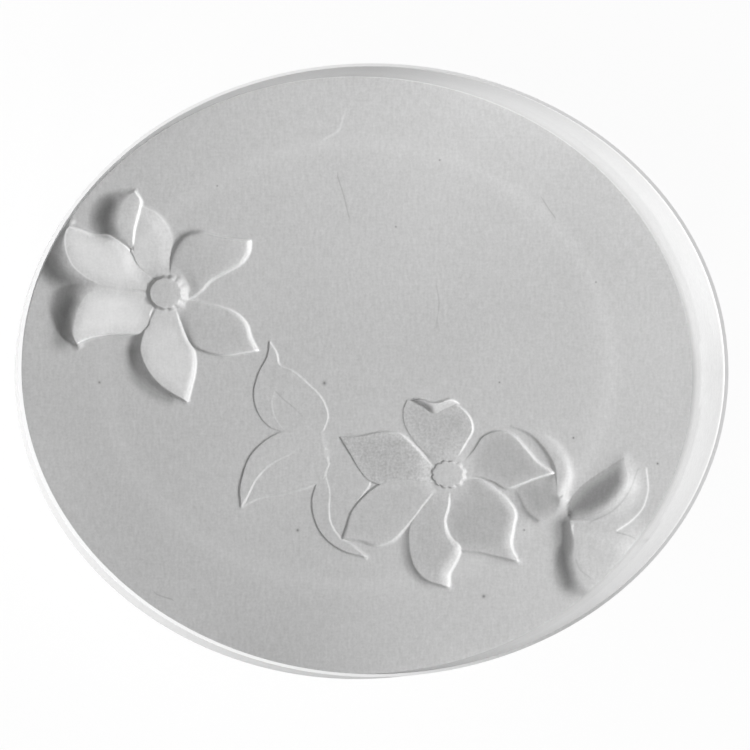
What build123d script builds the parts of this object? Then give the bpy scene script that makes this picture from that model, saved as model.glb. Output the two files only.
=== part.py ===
"""Oval silicone soap mould with two lilies and a spray of leaves sunk in its floor.

The soap is poured into the open cavity and takes the flowers as a raised relief.
X is the long axis of the oval, Y the short axis and Z points up out of the cavity.
The origin is under the middle of the mould, on the surface that it stands on.
"""

import os
from math import cos, radians, sin

from build123d import *

# ---- driving dimensions, in millimetres ----

# The cavity is an oval cup that narrows a little towards its floor.
opening_length = 101.7
opening_width = 87.0
cavity_depth = 22.0
end_draft = 1.9
side_draft = 0.2
cove_radius = 0.4

# The thin flexible wall ends in a rounded lip.
lip_thickness = 0.4
wall_thickness = 0.7

# The floor is thick enough to hold the relief, and stands on a shallow foot ring.
floor_thickness = 6.6
underside_radius = 5.0
foot_height = 0.8
foot_width = 3.0
foot_inset = 8.4

# The wall and the floor are one casting. Their solids meet just above the floor,
# where the cove is already thick enough to leave no feather edge.
seam_height = 0.1

# A round edge is lofted through this many steps.
round_steps = 4

# The relief keeps clear of the foot of the cove.
relief_margin = 0.3

# The stamens are scalloped pits in the middle of each lily.
stamen_radius = 2.0
stamen_lobes = 12
stamen_lobe_radius = 0.42
left_stamen_depth = 2.8
right_stamen_depth = 2.0

# A petal or leaf is hollowed like a trough along its rib.
petal_trough_radius = 26.0
leaf_trough_radius = 60.0

# ---- worked out from them ----

floor_bottom = foot_height
floor_top = floor_bottom + floor_thickness
seam_level = floor_top + seam_height
rim_level = floor_top + cavity_depth

opening_semi = Vector(opening_length / 2, opening_width / 2)
floor_semi = opening_semi - Vector(end_draft, side_draft)
outline_semi = floor_semi + Vector(wall_thickness, wall_thickness)
lip_semi = opening_semi + Vector(lip_thickness, lip_thickness)
lip_radius = lip_thickness * 0.48

# A cutter starts this far above the floor, and its trough runs past both of its ends.
cutter_top = 1.0
cutter_reach = 40.0

# ---- the relief ----
# Each outline runs from its base along one edge to the tip, and back along the other.
# Points are millimetres from the middle of the flower, or of the floor for leaves.

lily_middles = {"left": (-27.5, 11.9), "right": (13.4, -14.3)}

# Depths are at the base and at the tip.
left_lily_petals = {
    "west": dict(
        depths=(0.9, 3.6),
        out_edge=[(-1.9, 2.2), (-4.6, 5.2), (-7.9, 7.8), (-11.4, 8.4), (-13.9, 9.4)],
        back_edge=[(-14.2, 6.6), (-12.6, 3.4), (-8.6, 1.1), (-3.0, 0.3)],
    ),
    "north": dict(
        depths=(0.9, 3.0),
        out_edge=[(-1.4, 2.6), (-4.8, 6.4), (-6.8, 9.8), (-6.6, 12.4), (-4.4, 14.6)],
        back_edge=[(-2.4, 12.0), (-0.4, 10.3), (0.4, 7.4), (-0.6, 3.0)],
    ),
    "south_west": dict(
        depths=(0.9, 3.6),
        out_edge=[(-2.9, 0.0), (-6.0, 0.4), (-10.2, 0.3), (-12.4, -2.0), (-13.6, -5.8), (-12.9, -7.6)],
        back_edge=[(-10.0, -6.6), (-5.0, -6.2), (-3.0, -4.8), (-1.8, -2.3)],
    ),
    "north_east": dict(
        depths=(0.5, 1.3),
        out_edge=[(0.2, 2.9), (0.8, 6.0), (3.0, 8.5), (6.8, 8.4), (12.2, 7.5)],
        back_edge=[(11.7, 4.7), (8.6, 2.5), (5.2, 0.2), (2.9, 0.0)],
    ),
    "south": dict(
        depths=(0.9, 1.5),
        out_edge=[(-1.0, -2.7), (-3.1, -5.2), (-3.5, -9.0), (-1.6, -12.9), (3.3, -15.8)],
        back_edge=[(3.8, -13.6), (4.6, -10.0), (3.5, -7.6), (1.4, -2.7)],
    ),
    "south_east": dict(
        depths=(0.6, 1.2),
        out_edge=[(2.9, -0.4), (6.4, -1.8), (10.4, -3.2), (12.3, -6.6), (13.3, -8.4)],
        back_edge=[(10.6, -8.8), (6.8, -9.1), (3.6, -7.6), (1.9, -2.3)],
    ),
}

right_lily_petals = {
    "north": dict(
        depths=(0.7, 1.8),
        out_edge=[(-1.4, 2.2), (-4.4, 4.0), (-6.6, 7.9), (-6.1, 10.6), (-2.2, 8.8)],
        back_edge=[(0.9, 10.9), (3.6, 6.8), (2.2, 4.2), (1.2, 2.4)],
    ),
    "north_west": dict(
        depths=(0.5, 0.9),
        out_edge=[(-1.9, 1.9), (-5.2, 4.4), (-9.3, 6.1), (-16.0, 5.2)],
        back_edge=[(-13.8, 1.7), (-12.1, -0.6), (-9.8, -1.6), (-2.6, -0.7)],
    ),
    "south_west": dict(
        depths=(0.5, 1.4),
        out_edge=[(-2.7, -0.4), (-10.4, -2.2), (-14.1, -5.3), (-15.8, -9.5)],
        back_edge=[(-12.9, -9.7), (-10.3, -10.5), (-6.5, -7.9), (-1.6, -2.2)],
    ),
    "south": dict(
        depths=(0.6, 1.9),
        out_edge=[(-2.0, -1.9), (-5.9, -7.8), (-5.0, -12.8), (0.0, -16.3)],
        back_edge=[(1.3, -12.4), (-0.1, -8.4), (0.2, -2.6)],
    ),
    "south_east": dict(
        depths=(0.6, 1.5),
        out_edge=[(0.3, -2.7), (0.2, -8.0), (3.7, -11.3), (10.1, -12.6)],
        back_edge=[(10.3, -7.6), (7.4, -2.0), (5.0, -0.6), (2.6, -0.9)],
    ),
    "east": dict(
        depths=(0.5, 0.9),
        out_edge=[(1.9, 1.9), (3.6, 3.6), (6.6, 6.2), (10.2, 4.8), (12.4, 2.2), (15.4, 0.0)],
        back_edge=[(12.1, -1.2), (8.5, -2.3), (5.9, -1.0), (2.6, -0.6)],
    ),
}

leaves = {
    "upper": dict(
        depths=(0.3, 0.3),
        out_edge=[(-5.6, -8.4), (-10.7, -8.5), (-13.7, -6.6), (-15.0, -2.6), (-13.6, 2.0), (-12.8, 4.9)],
        back_edge=[(-11.4, 1.7), (-7.8, -0.7), (-4.9, -4.0), (-4.3, -6.8)],
    ),
    "middle": dict(
        depths=(0.3, 0.4),
        out_edge=[(-6.2, -15.7), (-8.9, -17.1), (-14.6, -18.0), (-16.9, -19.1)],
        back_edge=[(-17.1, -16.3), (-15.3, -11.6), (-10.4, -8.6), (-5.6, -9.7), (-4.0, -12.6)],
    ),
    "lower": dict(
        depths=(0.3, 0.5),
        out_edge=[(-6.0, -15.6), (-6.6, -19.1), (-4.4, -24.0), (1.3, -26.3)],
        back_edge=[(-1.8, -23.8), (-4.0, -20.2), (-4.5, -16.0)],
    ),
    "crescent": dict(
        depths=(0.9, 0.6),
        out_edge=[(29.6, -18.6), (29.0, -14.1), (26.4, -9.5), (22.5, -7.5)],
        back_edge=[(27.5, -8.6), (31.0, -12.8), (31.0, -17.6)],
    ),
    "inner": dict(
        depths=(0.8, 0.5),
        out_edge=[(30.2, -19.6), (27.3, -21.0), (24.6, -20.0), (23.4, -16.6)],
        back_edge=[(26.8, -16.4), (29.4, -17.6)],
    ),
    "outer": dict(
        depths=(1.6, 0.7),
        out_edge=[(31.2, -20.2), (32.6, -16.2), (36.4, -13.5), (39.2, -11.5)],
        back_edge=[(41.4, -14.2), (40.2, -18.4), (36.6, -21.4), (32.6, -21.4)],
    ),
    "last": dict(
        depths=(2.4, 0.8),
        out_edge=[(31.0, -20.6), (31.2, -26.0), (33.4, -30.2), (36.4, -29.4)],
        back_edge=[(38.4, -26.6), (36.6, -22.6), (33.0, -21.2)],
    ),
}


def oval_stack(stations):
    """A solid lofted through ovals, each given by its two semi-axes and its level."""
    with BuildPart() as stack:
        for semi, level in stations:
            with BuildSketch(Plane.XY.offset(level)):
                Ellipse(semi.X, semi.Y)
        loft(ruled=True)
    return stack.part


def inset(semi, distance):
    """The semi-axes of an oval that lies this far inside another, or outside if negative."""
    return semi - Vector(distance, distance)


def bottom_round(semi, level, radius):
    """Stations of a rounded bottom edge that rises from a level to the wall above it."""
    stations = []
    for step in range(round_steps + 1):
        angle = radians(90 * step / round_steps)
        rise = radius * (1 - cos(angle))
        stations.append((inset(semi, radius * (1 - sin(angle))), level + rise))
    return stations


def lip_round(semi, side):
    """Stations of one half of the lip: side is 1 outside the wall and -1 inside it."""
    stations = []
    for step in range(round_steps + 1):
        angle = radians(90 * step / round_steps)
        rise = lip_radius * (1 - sin(angle))
        stations.append((inset(semi, side * lip_radius * (1 - cos(angle))), rim_level - rise))
    return stations


def hollow(middle, trough_radius, depths, out_edge, back_edge):
    """The solid that one petal or leaf takes out of the floor.

    The outline is cut straight down, and a large cylinder laid along the rib gives the
    bottom its trough and its slope from the base to the tip.
    """
    base = out_edge[0]
    tip = out_edge[-1]
    heel = back_edge[-1]
    depth_base, depth_tip = depths
    rib_start = Vector((base[0] + heel[0]) / 2, (base[1] + heel[1]) / 2, -depth_base)
    rib_end = Vector(tip[0], tip[1], -depth_tip)
    rib = (rib_end - rib_start).normalized()
    up = (Vector(0, 0, 1) - rib * rib.Z).normalized()
    flat = Plane(origin=(middle[0], middle[1], floor_top))
    axis_origin = flat.from_local_coords(rib_start + up * trough_radius)
    with BuildPart() as solid:
        with BuildSketch(flat.offset(cutter_top)):
            with BuildLine():
                Spline(*out_edge)
                Spline(tip, *back_edge)
                Line(heel, base)
            make_face()
        extrude(amount=-(cutter_top + floor_thickness))
        with BuildSketch(Plane(origin=axis_origin, z_dir=rib)):
            Circle(trough_radius)
        extrude(amount=cutter_reach, both=True, mode=Mode.INTERSECT)
    return solid.part


def stamens(middle, depth):
    """The scalloped pit in the middle of a lily."""
    with BuildPart() as pit:
        with BuildSketch(Plane(origin=(middle[0], middle[1], floor_top + cutter_top))):
            Circle(stamen_radius)
            with PolarLocations(stamen_radius, stamen_lobes):
                Circle(stamen_lobe_radius)
        extrude(amount=-(cutter_top + depth))
    return pit.part


hollows = []
for petal in left_lily_petals.values():
    hollows.append(hollow(lily_middles["left"], petal_trough_radius, **petal))
for petal in right_lily_petals.values():
    hollows.append(hollow(lily_middles["right"], petal_trough_radius, **petal))
for leaf in leaves.values():
    hollows.append(hollow((0, 0), leaf_trough_radius, **leaf))
hollows.append(stamens(lily_middles["left"], left_stamen_depth))
hollows.append(stamens(lily_middles["right"], right_stamen_depth))

# The relief ends where the cove begins.
relief_semi = inset(floor_semi, cove_radius + relief_margin)

with BuildPart() as relief:
    for solid in hollows:
        add(solid)
    with BuildSketch(Plane.XY):
        Ellipse(relief_semi.X, relief_semi.Y)
    extrude(amount=rim_level, mode=Mode.INTERSECT)

# ---- the casting, before it is divided ----

cavity_foot = bottom_round(floor_semi, floor_top, cove_radius)
cavity_mouth = lip_round(opening_semi, -1)
cavity = oval_stack(cavity_foot + cavity_mouth)

block_foot = bottom_round(outline_semi, floor_bottom, underside_radius)
block_mouth = lip_round(lip_semi, 1)
block = oval_stack(block_foot + [(outline_semi, floor_top)] + block_mouth)

with BuildPart() as casting:
    add(block)
    add(cavity, mode=Mode.SUBTRACT)

# ---- side wall ----

with BuildPart() as side_wall:
    add(casting.part)
    split(bisect_by=Plane.XY.offset(seam_level), keep=Keep.TOP)
side_wall.part.label = "side_wall"

# ---- relief floor ----

with BuildPart() as relief_floor:
    add(casting.part)
    split(bisect_by=Plane.XY.offset(seam_level), keep=Keep.BOTTOM)
    add(relief.part, mode=Mode.SUBTRACT)
relief_floor.part.label = "relief_floor"

# ---- foot ring ----

foot_outside = inset(floor_semi, foot_inset)
foot_inside = inset(foot_outside, foot_width)

with BuildPart() as foot_ring:
    with BuildSketch(Plane.XY):
        Ellipse(foot_outside.X, foot_outside.Y)
        Ellipse(foot_inside.X, foot_inside.Y, mode=Mode.SUBTRACT)
    extrude(amount=foot_height)
foot_ring.part.label = "foot_ring"

os.makedirs("parts", exist_ok=True)
export_step(side_wall.part, "parts/side_wall.step")
export_step(relief_floor.part, "parts/relief_floor.step")
export_step(foot_ring.part, "parts/foot_ring.step")
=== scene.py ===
"""Oval silicone soap mould with two lilies and a spray of leaves sunk in its floor.

The mould is one casting: a thin leaning wall round a flat floor, into which the
flowers are pressed. The relief is worked out as a depth below the floor for any
point of it, and the floor's mesh is laid finely along the edges of the petals.
"""

import math

import bpy
import numpy as np
from bpy.props import FloatProperty, FloatVectorProperty, PointerProperty
from mathutils import Matrix, Vector, geometry


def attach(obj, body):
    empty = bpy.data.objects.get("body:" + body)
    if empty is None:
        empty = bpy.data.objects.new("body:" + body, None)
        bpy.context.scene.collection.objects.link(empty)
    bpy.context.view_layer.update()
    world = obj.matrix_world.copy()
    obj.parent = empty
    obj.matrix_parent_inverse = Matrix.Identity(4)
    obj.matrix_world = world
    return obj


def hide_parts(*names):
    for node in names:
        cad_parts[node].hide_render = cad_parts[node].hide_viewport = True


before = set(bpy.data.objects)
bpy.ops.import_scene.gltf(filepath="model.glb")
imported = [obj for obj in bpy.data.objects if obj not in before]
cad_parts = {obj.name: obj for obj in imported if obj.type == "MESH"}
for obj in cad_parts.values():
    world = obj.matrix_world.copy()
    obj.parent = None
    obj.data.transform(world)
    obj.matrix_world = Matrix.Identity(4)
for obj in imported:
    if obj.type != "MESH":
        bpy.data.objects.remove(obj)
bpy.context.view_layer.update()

bl_info = {
    "name": "Lily soap mould",
    "version": (1, 0, 0),
    "blender": (4, 5, 0),
    "location": "View3D > Sidebar > Soap mould",
    "description": "Builds an oval silicone soap mould with a sunk lily relief",
    "category": "Add Mesh",
}

MM = 0.001

# ---- the shell, in millimetres ----

opening_semi = (50.72, 43.6)
floor_semi = (48.95, 43.3)
wall_thickness = 0.695
lip_semi = (51.245, 43.995)
lip_slant = 0.1
cove_radius = 0.15
underside_radius = 5.0
floor_bottom = 0.8
floor_top = 7.4
rim_level = 29.4
foot_inset = 8.4
foot_width = 3.0
foot_round = 0.3

# How many points and steps its surface has, how far in the middle of a rounded corner lies
# as a share of its radius, and where the rings of points under the floor lie.
ring_points = 440
round_steps = 8
wall_steps = 14
corner_share = 0.3
underside_shares = (0.75, 0.5, 0.25, 0.08)

# ---- the relief, in millimetres ----
# Every petal and leaf has two edges, each a curve from its base to its tip.
# lift: how deep it is sunk at its base, half way and at its tip
# tilt: the extra depth for each millimetre to the left of its rib
# cup: the extra depth for the square of that distance
# skirts, fillets: how far each edge slopes outwards and rounds inwards
# pales: how strong the painted highlight along each edge is
# swells: how much the slope beside each edge bulges
# drops: the least share of its depth that each edge keeps
# stipple: how rough the silicone is there
# shade: painted light and shade on its face, how much paler its middle is painted (darker when
# negative)
# Skirts, fillets and painted highlights are one number for a whole edge, or several from base to tip.

LEFT_LILY = (-27.5, 11.9)
RIGHT_LILY = (13.4, -14.3)
FLOOR_MIDDLE = (0.0, 0.0)

plain_shape = {
    "tilt": 0, "cup": 0, "skirts": (0.12, 0.12), "fillets": (0, 0), "pales": (0, 0),
    "swells": (0, 0), "drops": (0, 0), "stipple": 0.1, "shade": 0,
}


def sunk(one_edge, other_edge, **settings):
    """One petal or leaf of the relief, plain where no other settings are given."""
    return {**plain_shape, **settings, "edges": (one_edge, other_edge)}


# Lines that two neighbours share.
north_fold = [(-4.7, 9.4), (-4.1, 11.7), (-3.9, 13.2), (-4.8, 14.6)]
middle_rib = [
    (-7.9, -11.0), (-10.8, -12.0), (-13.1, -13.4), (-14.9, -15.5), (-16.0, -17.8), (-16.9, -19.2),
]
panel_side = [(-4.6, -14.6), (-4.0, -17.0), (-4.1, -19.2), (-3.9, -21.2)]

left_lily = [
    # south east
    sunk([(2.2, -0.9), (4.9, -1.5), (7.5, -2.0),
          (9.8, -2.9), (11.5, -4.6), (12.1, -6.5), (13.1, -8.4)],
         [(0.9, -2.4), (2.3, -5.8), (3.4, -7.7),
          (5.6, -8.7), (8.5, -9.1), (11.1, -8.7), (13.1, -8.4)],
         lift=(0.4, 0.6, 0.75), shade=-0.03,
         skirts=((0.15, 0.15, 0.2), (0.3, 0.35, 0.2)),
         fillets=((0, 0.3, 0.5), (2.2, 0.2, 0.1)),
         pales=((0.2, 0.7, 0.5, 0.2), (0, 0, 0, 0.9, 0.9))),
    # north east
    sunk([(-0.9, 2.2), (0.1, 4.2), (0.9, 6.2), (2.4, 8.1),
          (4.5, 8.7), (7.1, 8.2), (9.5, 7.8), (12.0, 7.5)],
         [(2.4, -1.2), (4.6, 0.0), (6.3, 1.7), (8.7, 3.0), (10.7, 4.2), (11.8, 5.8), (12.0, 7.5)],
         lift=(0.25, 0.85, 0.9),
         skirts=((1.0, 1.0, 0.8, 0.15, 0.2), (0.15, 0.2)),
         fillets=((0.8, 0.4, 0.1), (0, 0.2, 0.5)),
         pales=((0, 0, 0.1, 0.8, 0.9), (0, 0.4))),
    # south
    sunk([(-1.4, -2.0), (-3.3, -5.6), (-3.9, -8.2),
          (-3.1, -10.7), (-1.4, -13.0), (0.9, -14.7), (2.9, -15.8)],
         [(1.0, -2.2), (2.7, -6.5), (3.9, -8.8), (4.0, -11.1), (3.5, -13.5), (2.9, -15.8)],
         lift=(0.45, 0.75, 0.75), tilt=-0.1, shade=0.3,
         skirts=((0.4, 1.8, 2.6, 1.3, 0.4), (0.15, 0.2)),
         fillets=(0, (0, 0.7, 0.7)), swells=(1.0, 0),
         pales=(0, (0, 0.3, 0.4))),
    # north, with its left edge folded over
    sunk([(0.4, 1.5), (0.3, 4.4), (0.6, 7.0), (0.0, 9.3), (-1.7, 11.4), (-3.9, 12.7), (-4.8, 14.6)],
         [(-4.0, 1.0), (-5.8, 4.4), (-5.2, 6.6)] + north_fold,
         lift=(0.3, 0.8, 0.9), tilt=0.09, shade=0.12,
         skirts=((0.6, 0.6, 0.3), 0.15),
         fillets=((2.0, 2.4, 0.8), 0),
         pales=((0, 0.1, 0.3, 0.2), 0)),
    sunk([(-5.1, 6.0), (-5.0, 7.2)] + north_fold,
         [(-5.3, 6.3), (-6.1, 8.0), (-7.0, 9.9), (-7.0, 11.6), (-6.0, 13.2), (-4.8, 14.6)],
         lift=(0.6, 1.75, 0.6), tilt=0.05,
         skirts=(0.15, (0.6, 3.8, 5.0, 3.2, 0.4)),
         fillets=(0, 0.1), swells=(0, 2.0),
         pales=(0.9, 0)),
    # west
    sunk([(-1.9, 1.6), (-4.6, 4.2), (-5.3, 5.7), (-6.5, 7.0),
          (-8.2, 8.1), (-11.1, 8.4), (-12.8, 9.1), (-14.3, 9.6)],
         [(-2.2, 0.2), (-6.5, 0.6), (-9.4, 1.0), (-11.8, 2.2),
          (-13.7, 3.9), (-14.7, 6.3), (-14.7, 8.6), (-14.3, 9.6)],
         lift=(0.7, 1.45, 2.3), tilt=0.05, shade=0.42,
         skirts=((0.15, 0.15, 0.4), (0.3, 0.4, 0.6, 1.4, 5.5, 5.0, 0.5)),
         fillets=((2.2, 2.2, 1.2, 0.1, 0), 0), swells=(0, 2.0), drops=(0.58, 0),
         pales=((0.3, 0.9, 1.0, 1.0), (0, 0, 0.2, 0.6, 0.8))),
    # south west
    sunk([(-2.2, -0.2), (-6.5, 0.2), (-9.4, 0.4), (-11.2, 0.0),
          (-12.5, -1.5), (-13.4, -4.2), (-13.6, -6.2), (-13.1, -7.5)],
         [(-1.6, -1.2), (-2.5, -3.0), (-2.8, -4.7), (-3.9, -5.8),
          (-6.5, -6.1), (-9.7, -6.3), (-11.7, -6.8), (-13.1, -7.5)],
         lift=(0.7, 1.3, 2.1), tilt=-0.09, shade=0.48,
         skirts=((0.2, 0.8, 4.2, 5.2, 4.4, 0.5), (0.3, 0.3, 0.15, 0.5)),
         fillets=(0, (0, 0, 0.2, 0)), swells=(2.0, 0),
         pales=(0, (0, 0.3, 0.9, 1.0))),
]

right_lily = [
    # east
    sunk([(2.1, 1.7), (3.6, 3.5), (4.9, 5.4), (6.9, 6.2),
          (9.1, 5.8), (11.2, 3.8), (13.1, 1.7), (15.4, 0.2)],
         [(2.4, -0.3), (4.4, -0.4), (6.5, -1.1),
          (8.4, -2.0), (10.5, -1.4), (13.1, -0.4), (15.4, 0.2)],
         lift=(0.1, 0.55, 1.15), shade=-0.2,
         skirts=((0.2, 0.3, 0.15), (0.2, 0.5, 0.15)),
         fillets=((0, 0.1, 0.2), (0, 0.1, 0)),
         pales=((0, 0, 0.3, 0.4), (0, 0, 0.5, 0.9, 0.9))),
    # north, with its tip curled over
    sunk([(-1.9, 1.7), (-3.7, 3.2), (-5.4, 5.2), (-6.6, 7.5), (-6.7, 9.3), (-6.1, 10.7)],
         [(1.3, 2.6), (2.4, 4.5), (3.4, 6.4), (3.0, 8.2), (2.1, 9.3),
          (0.7, 10.1), (-1.9, 9.8), (-4.5, 10.4), (-6.1, 10.7)],
         lift=(0.14, 0.16, 0.14), tilt=-0.025, stipple=0.8, shade=-0.15,
         pales=((0, 0.1), (0.3, 0.3, 0.2, 0))),
    sunk([(-6.1, 10.7), (-4.5, 10.8), (-1.9, 10.3), (0.4, 10.8), (1.4, 10.2)],
         [(-6.1, 10.7), (-3.9, 9.8), (-2.2, 8.8), (-0.8, 9.4), (1.4, 10.2)],
         lift=(0.05, 1.1, 0.05),
         skirts=(0.16, 0.3),
         fillets=(0, (0.6, 1.2, 1.0)),
         pales=((0, 0, 0.3, 0.9), 0)),
    # north west
    sunk([(-2.5, 1.2), (-3.7, 2.6), (-5.3, 4.3),
          (-7.1, 5.8), (-9.7, 6.1), (-12.9, 5.5), (-16.0, 5.3)],
         [(-2.2, -1.3), (-6.0, -1.2), (-9.7, -1.6),
          (-11.8, -0.9), (-13.4, 1.0), (-14.7, 3.2), (-16.0, 5.3)],
         lift=(0.8, 0.5, 0.2), tilt=-0.03, stipple=1.1, shade=-0.15,
         fillets=((0, 0.1, 0.1), (0, 0, 0.1)),
         pales=((0, 0.6, 0.1), 0)),
    # south west
    sunk([(-2.8, -1.2), (-7.1, -0.9), (-10.3, -1.6),
          (-12.6, -3.3), (-14.4, -5.5), (-15.2, -7.8), (-15.8, -9.5)],
         [(-1.9, -2.9), (-4.5, -5.5), (-6.6, -8.1),
          (-8.3, -9.7), (-10.5, -10.4), (-13.2, -9.7), (-15.8, -9.5)],
         lift=(0.6, 0.45, 0.5), stipple=0.2, shade=-0.1,
         skirts=((0.15, 0.15, 0.5), (0.15, 0.4, 0.3)),
         fillets=((0, 0.1, 0.6), (0, 0, 0.4, 0.2)),
         pales=(0, (0, 0, 0.3, 0.2))),
    # south east
    sunk([(2.1, -0.9), (4.5, -0.9), (6.8, -2.2), (8.8, -4.0),
          (9.7, -5.5), (9.4, -7.8), (9.1, -10.3), (10.1, -12.6)],
         [(-0.2, -2.6), (-0.4, -4.6), (-0.9, -6.9), (-0.1, -9.3),
          (1.4, -10.8), (4.5, -11.3), (7.4, -12.0), (10.1, -12.6)],
         lift=(0.25, 0.6, 1.0), tilt=0.06, stipple=0.2, shade=-0.2,
         skirts=((0.15, 0.15, 0.2), (0.15, 0.15, 0.8, 0.8)),
         fillets=((0, 1.2, 1.4), (0, 0, 0.2)), drops=(0.68, 0),
         pales=((0, 0.3, 0.3), 0)),
    # south
    sunk([(-2.2, -2.6), (-4.5, -5.5), (-5.8, -8.1), (-5.8, -10.3),
          (-5.1, -13.3), (-3.3, -15.3), (-1.3, -16.0), (0.0, -16.3)],
         [(0.1, -2.3), (0.0, -4.6), (-0.5, -6.9), (0.3, -9.2),
          (1.6, -10.5), (1.0, -12.7), (0.1, -14.4), (0.0, -16.3)],
         lift=(0.4, 0.8, 1.15), tilt=0.06, stipple=0.3, shade=-0.12,
         skirts=((0.2, 1.2, 1.7, 1.4, 0.5), (0.15, 0.15, 0.2)),
         fillets=((0, 0.1, 0.1), (0, 0, 0.6, 1.6, 1.4)), drops=(0, 0.5),
         pales=(0, (0.2, 0.2, 0.4))),
]

leaves = [
    # upper leaf, with a shallow leaf inside it
    sunk([(-10.5, -8.4), (-12.8, -7.5), (-14.6, -5.2),
          (-15.1, -2.9), (-14.4, 0.2), (-13.1, 2.8), (-12.8, 4.9)],
         [(-5.0, -8.2), (-4.3, -6.1), (-5.0, -3.7), (-7.1, -1.4),
          (-9.5, 0.6), (-11.4, 1.6), (-11.7, 3.0), (-12.8, 4.9)],
         lift=(0.1, 0.17, 0.24)),
    sunk([(-10.2, -8.4), (-11.8, -6.5), (-12.4, -4.5), (-12.0, -2.3)],
         [(-6.8, -8.4), (-7.6, -6.5), (-9.2, -4.8), (-10.8, -3.5), (-12.0, -2.3)],
         lift=(0.12, 0.1, 0.14)),
    # middle leaf: its far side, and its near side up to the rib
    sunk([(-5.0, -8.0), (-7.9, -8.0), (-10.7, -8.2), (-13.6, -9.7),
          (-15.6, -11.8), (-16.7, -14.6), (-17.1, -16.6), (-16.9, -19.2)],
         [(-4.0, -12.9)] + middle_rib,
         lift=(0.1, 0.2, 0.33),
         skirts=((0.12, 0.2, 0.3), 0.12)),
    sunk([(-4.6, -10.6)] + middle_rib,
         [(-4.0, -12.9), (-4.4, -14.3), (-5.9, -15.7),
          (-8.2, -16.6), (-11.1, -17.3), (-14.0, -17.8), (-16.9, -19.2)],
         lift=(0.14, 0.12, 0.12)),
    # lower leaf: the panel beside it, then the leaf
    sunk([(-3.7, -12.0)] + panel_side + [(-2.3, -23.6)],
         [(-1.0, -11.4), (1.9, -15.3), (-0.4, -18.9), (-1.8, -22.1), (-2.3, -23.6)],
         lift=(0.03, 0.14, 0.14), tilt=0.02),
    sunk([(-5.9, -15.5), (-6.6, -18.1), (-6.3, -20.7), (-4.7, -23.6), (-2.1, -25.4), (1.2, -26.3)],
         panel_side + [(-2.4, -23.6), (-0.7, -24.7), (1.2, -26.3)],
         lift=(0.12, 0.28, 0.45),
         skirts=((0.12, 0.2, 0.4), (0.12, 0.12, 0.4))),
    # leaf under the right lily
    sunk([(27.6, -14.6), (23.9, -15.9), (23.1, -16.5), (23.7, -18.0), (25.0, -20.1), (26.5, -21.1)],
         [(28.9, -14.4), (29.6, -16.4), (30.0, -18.2), (29.4, -19.8), (28.4, -20.5), (26.5, -21.1)],
         lift=(0.5, 0.75, 0.7), tilt=0.13, shade=-0.3,
         skirts=((0.6, 1.2, 1.0), (1.4, 1.4, 1.0)),
         fillets=((1.4, 0.6, 0.3), (0, 0.6, 0.3))),
    # crescent
    sunk([(29.8, -17.6), (30.4, -16.4), (31.0, -14.4),
          (30.3, -11.4), (28.3, -9.1), (25.4, -7.9), (22.5, -7.3)],
         [(29.2, -17.4), (29.1, -15.7), (28.7, -13.1), (27.3, -10.7), (25.1, -8.5), (22.5, -7.3)],
         lift=(0.95, 0.55, 0.2),
         skirts=((1.2, 0.6, 0.3), (0.6, 0.8, 0.2)),
         fillets=((0.8, 1.2, 0.3), (0, 0.3, 0.2))),
    # soft leaf
    sunk([(30.4, -18.6), (32.6, -16.0), (35.4, -14.0), (38.9, -11.8)],
         [(30.8, -21.0), (34.4, -20.3), (37.6, -18.4), (39.5, -15.5), (38.9, -11.8)],
         lift=(0.3, 0.5, 0.4), tilt=-0.34, cup=0.02, shade=-0.6,
         skirts=(1.2, (0.8, 2.0, 3.0, 1.8)),
         fillets=((0.6, 0.8, 0.6), (0.4, 0.8, 1.0, 1.2))),
    # deep leaf that runs out into the wall
    sunk([(31.4, -21.8), (31.9, -24.3), (31.8, -26.8), (32.6, -29.2), (34.4, -31.6)],
         [(31.8, -21.4), (36.0, -22.0), (39.4, -23.4), (40.4, -26.0), (38.2, -29.4), (34.4, -31.6)],
         lift=(1.1, 1.5, 0.7), tilt=0.03, shade=0.08,
         skirts=((1.8, 2.4, 3.8, 4.4, 1.5), (1.8, 4.0, 4.0, 1.5)),
         fillets=(0, (2.0, 3.0, 3.0, 1.0)), swells=(2.0, 0)),
]

# Every shape, each lying over the ones before it, with the point that its edges start from.
relief = [(FLOOR_MIDDLE, leaves), (RIGHT_LILY, right_lily), (LEFT_LILY, left_lily)]

left_heart = (-27.75, 11.8)
right_heart = (13.3, -14.35)

# The stamens of each lily: their middle, size, number of lobes and depth, how far their
# sides slope outwards, and how ragged their outline is towards the left.
stamens = [
    {"middle": left_heart, "semi": (2.3, 2.2), "lobes": 13, "lift": 1.7, "skirt": 1.3, "ragged": 0.1},
    {"middle": right_heart, "semi": (2.3, 1.9), "lobes": 12, "lift": 1.0, "skirt": 0.3, "ragged": 1.0},
]
scallop_depth = 0.1
scallop_middle = 0.6
stamen_fillet = 0.05
steep_share = 0.35

# The heart of a lily, where the petals run together: its middle, how deep it is there, the
# extra depth for each millimetre along x, and how far out it starts and ends giving way to them.
hearts = [
    {"middle": left_heart, "lift": 0.6, "lean": -0.08, "inner": 2.2, "outer": 5.0},
    {"middle": right_heart, "lift": 0.35, "lean": -0.02, "inner": 2.2, "outer": 5.0},
]
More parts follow.
